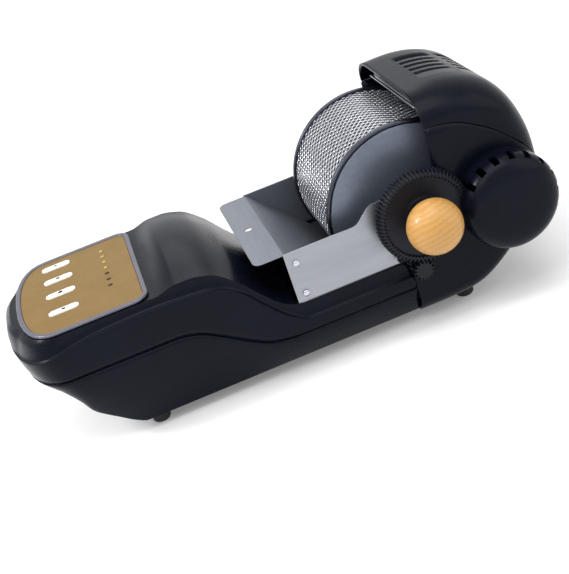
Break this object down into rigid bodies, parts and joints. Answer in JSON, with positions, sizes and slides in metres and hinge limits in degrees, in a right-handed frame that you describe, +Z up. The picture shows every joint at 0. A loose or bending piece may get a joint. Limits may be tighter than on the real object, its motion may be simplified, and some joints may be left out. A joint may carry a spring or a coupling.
{
  "type": "home coffee bean roaster",
  "caption": "Countertop bean roaster: low body with a keypad at the front, an open steel trough with a geared mesh drum and wooden knob, a hinged vented hood and a round blower pod.",
  "frame": {"origin": "middle of the whole outline, on the table under the feet", "axes": "+X along the body from the keypad's nose to the hood, +Z up, and the user's side with the gear and knob is -Y"},
  "size_m": [0.4668, 0.2222, 0.1945],
  "materials": {
    "black_plastic": "satin black moulded plastic with a faint navy tint",
    "black_gear": "black moulded nylon",
    "brushed_steel": "brushed stainless sheet",
    "dark_steel": "heat-darkened steel sheet",
    "bright_steel": "bright stainless",
    "gold_panel": "satin gold-brown film on the keypad",
    "silver_bezel": "grey metallic painted frame",
    "white_plastic": "warm white keys",
    "amber_lens": "yellow indicator lens",
    "red_lens": "dark red indicator lens",
    "beech_wood": "oiled pale wood",
    "circuit_green": "green circuit board",
    "ceramic": "matt off-white ceramic",
    "rubber": "black rubber",
    "motor_zinc": "zinc-plated motor can"
  },
  "bodies": {
    "casing": {"upper_casing": "black_plastic", "lower_casing": "black_plastic", "panel_bezel": "silver_bezel", "panel_overlay": "gold_panel", "control_board": "circuit_green", "near_side_plate": "brushed_steel", "far_side_plate": "brushed_steel", "near_axle_bush": "ceramic", "far_axle_bush": "ceramic", "near_plate_screw_1": "bright_steel", "near_plate_screw_2": "bright_steel", "far_plate_screw_1": "bright_steel", "far_plate_screw_2": "bright_steel", "chaff_trough": "brushed_steel", "drum_motor": "motor_zinc", "rear_casing": "black_plastic", "hinge_pin": "bright_steel", "blower_pod": "black_plastic", "blower_motor": "motor_zinc", "near_heater_holder": "ceramic", "far_heater_holder": "ceramic", "heat_reflector": "bright_steel", "cable_gland": "rubber", "indicator_1": "amber_lens", "indicator_2": "amber_lens", "indicator_3": "amber_lens", "indicator_4": "amber_lens", "indicator_5": "red_lens", "indicator_6": "red_lens", "indicator_7": "red_lens", "heater_rod_1": "bright_steel", "heater_rod_2": "bright_steel", "heater_rod_3": "bright_steel", "front_near_foot": "rubber", "front_far_foot": "rubber", "rear_near_foot": "rubber", "rear_far_foot": "rubber"},
    "hood": {"hood": "black_plastic", "hood_liner": "brushed_steel", "hood_grille": "brushed_steel"},
    "drum": {"drum_mesh": "bright_steel", "drum_near_rim": "bright_steel", "drum_far_rim": "bright_steel", "drum_near_end": "dark_steel", "drum_far_end": "dark_steel", "drum_vane_1": "brushed_steel", "drum_vane_2": "brushed_steel", "drum_vane_3": "brushed_steel", "drum_axle": "bright_steel", "drum_gear": "black_gear", "wood_knob": "beech_wood"},
    "pinion": {"drive_pinion": "black_gear"},
    "fan": {"impeller": "black_gear"},
    "button_1": {"button_1": "white_plastic"},
    "button_2": {"button_2": "white_plastic"},
    "button_3": {"button_3": "white_plastic"},
    "button_4": {"button_4": "white_plastic"}
  },
  "joints": [
    {"name": "hood_hinge", "type": "hinge", "parent": "casing", "child": "hood", "pos_m": [0.2296, 0.02285, 0.106], "axis": [0, 1, 0], "range_deg": [0, 80]},
    {"name": "drum_spin", "type": "hinge", "parent": "casing", "child": "drum", "pos_m": [0.1126, 0.02285, 0.102], "axis": [0, 1, 0], "continuous": true},
    {"name": "pinion_spin", "type": "hinge", "parent": "casing", "child": "pinion", "pos_m": [0.10027, 0.02285, 0.05599], "axis": [0, 1, 0], "continuous": true},
    {"name": "fan_spin", "type": "hinge", "parent": "casing", "child": "fan", "pos_m": [0.1836, 0.02285, 0.09], "axis": [0, 1, 0], "continuous": true},
    {"name": "button_1_press", "type": "slide", "parent": "casing", "child": "button_1", "axis": [0, 0, -1], "range_m": [0, 0.001], "stiffness_N_per_m": 400},
    {"name": "button_2_press", "type": "slide", "parent": "casing", "child": "button_2", "axis": [0, 0, -1], "range_m": [0, 0.001], "stiffness_N_per_m": 400},
    {"name": "button_3_press", "type": "slide", "parent": "casing", "child": "button_3", "axis": [0, 0, -1], "range_m": [0, 0.001], "stiffness_N_per_m": 400},
    {"name": "button_4_press", "type": "slide", "parent": "casing", "child": "button_4", "axis": [0, 0, -1], "range_m": [0, 0.001], "stiffness_N_per_m": 400}
  ],
  "couplings": [
    {"joint": "pinion_spin", "follows": "drum_spin", "ratio": -5}
  ]
}
